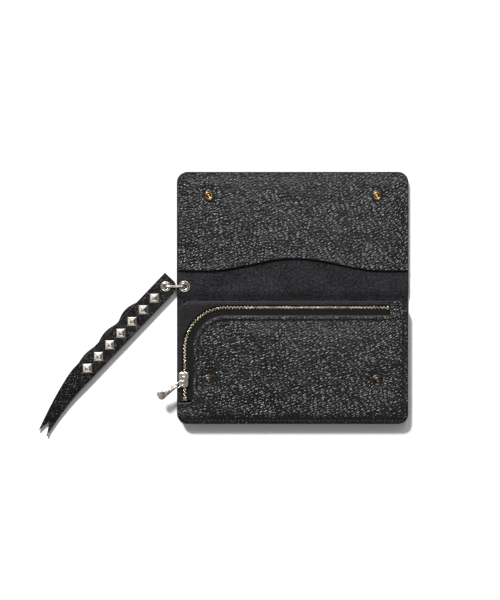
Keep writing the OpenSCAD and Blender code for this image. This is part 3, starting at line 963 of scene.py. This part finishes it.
slider_parts = [
    solid("slider_top", slider_outline(SLIDER_X, SLIDER_Y, 8.4, 12.8, 0.22), PLATE_Z0, PLATE_Z1 - 0.3,
          0.35, NICKEL, spacing=0.7, top=slider_crown),
    solid("slider_low", slider_outline(ZIP_X, SLIDER_Y, 6.4, 12.6, 0.15), SLIDER_LOW[2],
          SLIDER_LOW[2] + 1.0, 0.3, NICKEL, spacing=2.0),
]
post = chamfer_box(0.6, 3.0, PLATE_Z0 - SLIDER_LOW[2], 0.1)
slider_parts.append(copies("slider_post", post, [
    ((ZIP_X, SLIDER_LOW[1] + 1.8, (PLATE_Z0 + SLIDER_LOW[2]) / 2 + 0.3),
     (1, 0, 0), (0, 1, 0), (0, 0, 1))], NICKEL))
cheek = chamfer_box(1.0, 9.0, 0.7, 0.2)
slider_parts.append(copies("slider_cheeks", cheek, [
    ((SLIDER_X + s * 3.3, SLIDER_Y + 1.2, PLATE_Z0 + 0.05), (1, 0, 0), (0, 1, 0), (0, 0, 1))
    for s in (-1, 1)], NICKEL))


def bridge(x0, y0, z0, direction, length, height, width, material):
    """An arched strip over the slider that holds the pull."""
    steps = 18
    section = [(-0.5, 0.0), (-0.5, 0.7), (-0.3, 1.0), (0.3, 1.0), (0.5, 0.7), (0.5, 0.0)]
    t = 0.42
    verts = []
    for i in range(steps + 1):
        a = math.pi * i / steps
        cx = -math.cos(a)
        cz = math.sin(a) ** 0.7 if 0 < i < steps else 0.0
        for u, v in section:
            along = cx * (length / 2 - t * (1 - v))
            up = cz * (height - t * (1 - v))
            verts.append((x0 + along * direction[0] - u * width * direction[1],
                          y0 + along * direction[1] + u * width * direction[0], z0 + up))
    return make_object("slider_bridge", verts, bands(steps + 1, len(section)), material)


ALONG = (math.cos(PULL), math.sin(PULL))
slider_parts.append(bridge(PIVOT[0], PIVOT[1], PLATE_Z1 - 0.15, ALONG, 5.6, 1.95, 2.2, NICKEL))
slider_parts.append(lathe(
    "slider_boss", [(0, 0), (2.1, 0), (2.3, 0.3), (2.0, 0.75), (1.2, 0.9), (0.9, 0.6), (0, 0.55)],
    (SLIDER_X - 0.1, SLIDER_Y + 3.4, PLATE_Z1 - 0.1), NICKEL, 40))
slider = join("slider", slider_parts)
attach(slider, "zip_slider", "slider")


def on_pull(u, v, z):
    """A point in the pull's own frame: u along it, v across it."""
    return (PIVOT[0] + u * ALONG[0] - v * ALONG[1], PIVOT[1] + u * ALONG[1] + v * ALONG[0],
            PIVOT[2] + z)


link_path = [on_pull(u, v, 0)
             for u, v in dense(round_box(0.0, -1.85, 6.2, 1.85, 0.6, 1.3, 1.3, 0.6, 6), 0.5)]


pull_link = wire_loop("pull_link", link_path, 0.42, NICKEL, 12, Vector((0, 0, 1)))
attach(pull_link, "zip_pull_link", "pull")

# the pull tab: a fan that widens to its end, with ribs along it and cross grooves at the foot
TAB_START, TAB_LENGTH = 5.4, 18.6


def tab_half(u):
    """Half the pull tab's width at u along the pull."""
    t = (u - TAB_START) / TAB_LENGTH
    if t > 0.84:
        return 4.0 * math.sqrt(max(0.0, 1 - ((t - 0.84) / 0.16) ** 2)) * 0.9 + 0.35
    return 1.3 + 2.7 * (t / 0.84) ** 1.2


def pull_tab():
    nu, nv = 44, 25
    verts = []
    for face in (1, -1):
        for i in range(nu + 1):
            u = TAB_START + TAB_LENGTH * i / nu
            half = tab_half(u)
            for k in range(nv):
                w = -1 + 2 * k / (nv - 1)
                rib = 0.2 * abs(math.cos(w * math.pi * 2.5))
                foot = 0.16 * (1 + math.sin(u * 4.2)) * (i < 12)
                round_off = math.sqrt(max(0.0, 1 - w ** 8)) * (1 if 0 < i < nu else 0.35)
                z = face * (0.42 + 0.22 * (1 - w * w) + rib + foot) * round_off
                verts.append(on_pull(u, w * half, z))
    return cleaned(make_object("pull_tab", verts, slab_faces(nu + 1, nv), WORN_SILVER))


tab = pull_tab()
attach(tab, "zip_pull_tab", "pull")


# ---- snaps ----
for side, word in ((-1, "left"), (1, "right")):
    on_flap = (side * SNAP_X, FLAP_SNAP_Y, POCKET_Z)
    ring = lathe(f"socket_ring_{word}", [
        (2.9, 0), (2.9, 1.15), (3.1, 1.42), (3.5, 1.5), (3.9, 1.32), (4.1, 0.95), (4.4, 0.82),
        (4.75, 0.5), (4.8, 0.15), (4.7, 0)], on_flap, DARK_METAL)
    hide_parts(f"snap_socket_{word}")
    collar = lathe(f"socket_collar_{word}", [
        (2.1, 0.05), (2.1, 0.95), (2.25, 1.2), (2.55, 1.25), (2.88, 1.1), (2.88, 0.05)],
        on_flap, BRASS)
    # painted shade: a dark metal disc at the foot of the socket's centre hole stands in for the shadow
    # inside it, showing as a dark ring round the button
    hole_shade = lathe(f"socket_painted_hole_shade_{word}", [(0, 0), (2.1, 0), (2.1, 0.3), (0, 0.3)],
                on_flap, DARK_METAL)
    button = lathe(f"socket_button_{word}", [
        (0, 0.2), (1.15, 0.2), (1.1, 0.4), (0.8, 0.5), (0.45, 0.48), (0.3, 0.36), (0, 0.34)],
        on_flap, BRASS)
    for piece in (ring, collar, hole_shade, button):
        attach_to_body(piece, "flap")
    stud = lathe(f"snap_post_{word}", [
        (0, -0.6), (4.8, -0.6), (4.8, 0.3), (4.55, 0.58), (4.1, 0.7), (3.5, 0.6), (3.0, 0.3),
        (2.5, 0.3), (2.15, 0.75), (1.65, 1.4), (1.55, 2.0), (1.7, 2.4), (1.6, 2.75), (1.2, 2.9),
        (0.8, 2.75), (0.55, 2.3), (0, 2.2)], (side * SNAP_X, POUCH_SNAP_Y, POUCH_TOP), DARK_METAL)
    attach(stud, f"snap_stud_{word}", "pouch")
    cap = lathe(f"cap_{word}", [
        (0, 0.05), (2.4, 0.12), (4.0, 0.5), (4.9, 1.2), (5.2, 2.0), (5.2, 2.58), (0, 2.58)],
        (side * SNAP_X, FLAP_SNAP_Y, 0), NICKEL)
    attach(cap, f"snap_cap_{word}", "flap")


# ---- the lanyard ----
def eyelet(name, centre, flange, node, body):
    """A rolled metal eyelet; dark metal rings laid in the groove round its lip and in its bore are painted
    shade.
    """
    top, low = 1.5, -1.5
    profile = [(2.2, low + 0.1), (2.2, 1.05), (2.3, 1.38), (2.7, top), (3.05, 1.42), (3.25, 1.16),
               (flange - 1.1, 1.16), (flange - 0.75, 1.36), (flange - 0.35, 1.34), (flange, 1.12),
               (flange - 0.05, 1.0), (2.6, 1.0), (2.6, low + 0.4), (flange, low + 0.4),
               (flange, low + 0.15), (flange - 0.4, low)]
    obj = lathe(name, profile, centre, NICKEL)
    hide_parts(node)
    # painted shade: a dark metal ring in the groove round the lip and a dark metal liner in the bore stand
    # in for the shadow there
    groove = lathe(name + "_painted_groove_shade", [(3.1, 1.05), (3.1, 1.24), (flange - 1.0, 1.24),
                                      (flange - 1.0, 1.05)], centre, DARK_METAL)
    bore_shade = lathe(name + "_painted_bore_shade", [(2.12, low + 0.3), (2.12, 1.15), (2.25, 1.36), (2.3, low + 0.3)],
                 centre, DARK_METAL)
    for piece in (obj, groove, bore_shade):
        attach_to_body(piece, body)


eyelet("eyelet_wallet", WALLET_EYE, 4.8, "wallet_eyelet", "spine")
eyelet("eyelet_lanyard", STRAP_EYE, 4.4, "lanyard_eyelet", "strap")

LINK_WIRE = 0.9
LINK_LOW, LINK_HIGH = box_mm("lanyard_link")
link_r = (LINK_HIGH[2] - LINK_LOW[2]) / 2 - LINK_WIRE
link_z = (LINK_HIGH[2] + LINK_LOW[2]) / 2
x_right, x_left = LINK_HIGH[0] - LINK_WIRE - link_r, LINK_LOW[0] + LINK_WIRE + link_r
oval = []
for x0, x1, first, side in ((x_right, x_left, -90, 1), (x_left, x_right, 90, -1)):
    oval += [(x, SPINE_MID, z) for x, z in arc(x0, link_z, link_r, first, first + 180, 12)]
    oval += [(x0 + (x1 - x0) * i / 8, SPINE_MID, link_z + side * link_r) for i in range(1, 8)]
link = wire_loop("oval_link", oval, LINK_WIRE, NICKEL, 20, Vector((0.0, 1.0, 0.02)).normalized())
attach(link, "lanyard_link", "link")

STRAP_W, BEND, FORK, TIP = 17.0, 104.0, 149.0, 161.0
SCALLOP, TAIL_DROP = 25.0, 1.9
COS, SIN = math.cos(STRAP_TURN), math.sin(STRAP_TURN)


def turned(obj):
    """From the strap's own frame, with +X towards its tail, to its place."""
    for v in obj.data.vertices:
        x, y = v.co.x, v.co.y
        v.co.x = STRAP_EYE[0] * MM + x * COS - y * SIN
        v.co.y = STRAP_EYE[1] * MM + x * SIN + y * COS
    return obj


def drift(u):
    """How far the strap's middle line has turned aside at u along it."""
    return 0.0 if u < BEND else 10.4 * ((u - BEND) / (TIP - BEND)) ** 1.5


def half_strap(u):
    return STRAP_W / 2 if u < BEND else STRAP_W / 2 - 4.4 * (u - BEND) / (TIP - BEND)


us = [BEND + (TIP - 4 - BEND) * i / 14 for i in range(15)]
strap_outline = (arc(0, 0, STRAP_W / 2, 160, 90, 10)
                 + [(u, drift(u) + half_strap(u)) for u in us]
                 + [(TIP - 1, drift(TIP) + 4.4), (FORK, drift(FORK)), (TIP, drift(TIP) - 4)]
                 + [(u, drift(u) - half_strap(u)) for u in reversed(us)]
                 + [(-8.0, -STRAP_W / 2)])
STRAP_LOW, STRAP_HIGH = box_mm("lanyard_strap")


def strap_sag(p):
    """The tail settles towards the table past the last stud."""
    return -TAIL_DROP * smoothstep(p[:, 0], BEND, 150.0)


def strap_top(p):
    edge = STRAP_W / 2 - np.abs(p[:, 1] - np.array([drift(u) for u in p[:, 0]]))
    return strap_sag(p) - 0.12 * np.exp(-((edge - 1.3) / 0.5) ** 2) + 0.1 * ripple(p, 5.0, 22.0)


strap = turned(leather("strap_top_layer", list(reversed(strap_outline)), STRAP_LOW[2],
                       STRAP_HIGH[2], 0.55, STRAP,
                       holes=[arc(0, 0, EYE_R, 0, 354, 32)], spacing=1.2, top=strap_top,
                       low=strap_sag, under=EDGE))
attach(strap, "lanyard_strap", "strap")

UNDER_START, UNDER_END = 9.0, 140.0


def scallop(u):
    """How far the lower layer reaches out at u: a row of scallops that get smaller."""
    rise = 0.0 if u < SCALLOP else 3.4 - 0.7 * math.floor(u / SCALLOP - 1)
    return STRAP_W / 2 - 0.6 + rise * abs(math.sin(math.pi * u / SCALLOP))


under_us = [UNDER_START + (UNDER_END - UNDER_START) * i / 100 for i in range(101)]
under_outline = ([(u, drift(u) + min(STRAP_W / 2 - 1.2, half_strap(u) - 1.2)) for u in under_us]
                 + [(u, drift(u) - (scallop(u) if u < BEND else half_strap(u) - 0.6))
                    for u in reversed(under_us)])


def under_wave(p):
    """Each scallop is a shallow arch that dips where it crosses."""
    arch = -0.45 * np.cos(2 * np.pi * p[:, 0] / SCALLOP) * smoothstep(-p[:, 1], 4.0, 9.0)
    return arch - 0.25 - 0.6 * TAIL_DROP * smoothstep(p[:, 0], 112.0, UNDER_END)


under = turned(leather("strap_under_layer", list(reversed(under_outline)), 0.05, 2.3, 0.5, STRAP,
                       spacing=1.5, top=under_wave, under=EDGE))
attach(under, "lanyard_under_strap", "strap")


def pyramid(name, node):
    """A square stud with slightly hollow faces that flare to a thin rim."""
    low, high = box_mm(node)
    (cx, cy), z = centre_of(node)[:2], low[2]
    side, height = 4.2, high[2] - low[2]
    levels = [(1.0, 0.0), (1.0, 0.35), (0.96, 0.55), (0.84, 0.95), (0.62, 1.75), (0.38, 2.75),
              (0.14, height - 0.25), (0.05, height - 0.03)]
    turn = STRAP_TURN + math.pi / 4
    c, d = math.cos(turn), math.sin(turn)
    verts = []
    for scale, up in levels:
        cut = 0.1 if scale > 0.3 else 0.0
        for x, y in ((-1, -1), (1, -1), (1, 1), (-1, 1)):
            for px, py in (((x, y - cut * y), (x - cut * x, y)) if x * y < 0 else
                           ((x - cut * x, y), (x, y - cut * y))):
                u, v = px * side * scale, py * side * scale
                verts.append((cx + u * c - v * d, cy + u * d + v * c, z + up))
    obj = make_object(name, verts, bands(len(levels), 8), NICKEL, smooth=False)
    cleaned(obj, 0.000001)
    attach(obj, node, "strap")


for i in range(1, 8):
    pyramid(f"pyramid_{i}", f"pyramid_stud_{i}")

# ---- hidden pieces inside the pouch ----
DIVIDER_LOW, DIVIDER_HIGH = box_mm("pouch_inner_divider")
divider = leather("inner_divider", [tuple(p) for p in inset(dense(wall_outline, 2.0), 2.2)],
                  DIVIDER_LOW[2], DIVIDER_HIGH[2], 0.2, LINING, spacing=8.0, edge_step=2.0)
attach(divider, "pouch_inner_divider", "pouch")
for word in ("left", "right"):
    node = f"snap_stud_back_{word}"
    low, high = box_mm(node)
    radius, height = (high[0] - low[0]) / 2, high[2] - low[2]
    washer = lathe(f"snap_back_{word}", [
        (1.3, 0.1), (1.5, 0), (radius - 0.3, 0), (radius, 0.2), (radius, height), (1.3, height)],
        (*centre_of(node)[:2], low[2]), DARK_METAL)
    attach(washer, node, "pouch")

# ---- stage ----
FLOOR = 20.0  # half the side, in metres
floor_mesh = bpy.data.meshes.new("floor")
floor_mesh.from_pydata([(-FLOOR, -FLOOR, 0), (FLOOR, -FLOOR, 0), (FLOOR, FLOOR, 0), (-FLOOR, FLOOR, 0)],
                       [], [(0, 1, 2, 3)])
floor = bpy.data.objects.new("floor", floor_mesh)
bpy.context.scene.collection.objects.link(floor)
floor.location.z = -0.0002
paper = Nodes("pale_paper")
paper.set(color=(0.93, 0.93, 0.93), rough=0.9)
floor_mesh.materials.append(paper.mat)

world = bpy.data.worlds.new("studio")
bpy.context.scene.world = world
world.use_nodes = True
tree = world.node_tree
tree.nodes["Background"].inputs["Strength"].default_value = 0.28
tree.nodes["Background"].inputs["Color"].default_value = (1.0, 0.99, 0.98, 1)


def light(name, kind, place, target, power):
    data = bpy.data.lights.new(name, kind)
    data.energy = power
    obj = bpy.data.objects.new(name, data)
    obj.location = place
    obj.rotation_euler = (Vector(target) - Vector(place)).to_track_quat("-Z", "Y").to_euler()
    bpy.context.scene.collection.objects.link(obj)
    return data


light("key", "SUN", (-0.42, 0.86, 0.95), (0, 0, 0), 4.4).angle = math.radians(10)
for name, place, target, size, power in (
        ("top_card", (-0.1, 1.1, 0.3), (-0.05, 0.0, 0.0), (1.2, 0.4), 4),
        ("glow", (0.14, 0.52, 1.0), (0.04, 0.1, 0.0), (0.26, 0.16), 1.2)):
    card = light(name, "AREA", place, target, power)
    card.shape = "RECTANGLE"
    card.size, card.size_y = size

CAMERA_HEIGHT = 1.15
VIEW_HEIGHT = 0.504
SENSOR = 36.0
camera_data = bpy.data.cameras.new("camera")
camera_data.sensor_fit = "VERTICAL"
camera_data.sensor_height = SENSOR
camera_data.lens = SENSOR * CAMERA_HEIGHT / VIEW_HEIGHT
camera = bpy.data.objects.new("camera", camera_data)
camera.location = (-0.0357, -0.0009, CAMERA_HEIGHT)
bpy.context.scene.collection.objects.link(camera)
bpy.context.scene.camera = camera
bpy.context.scene.view_settings.view_transform = "Standard"
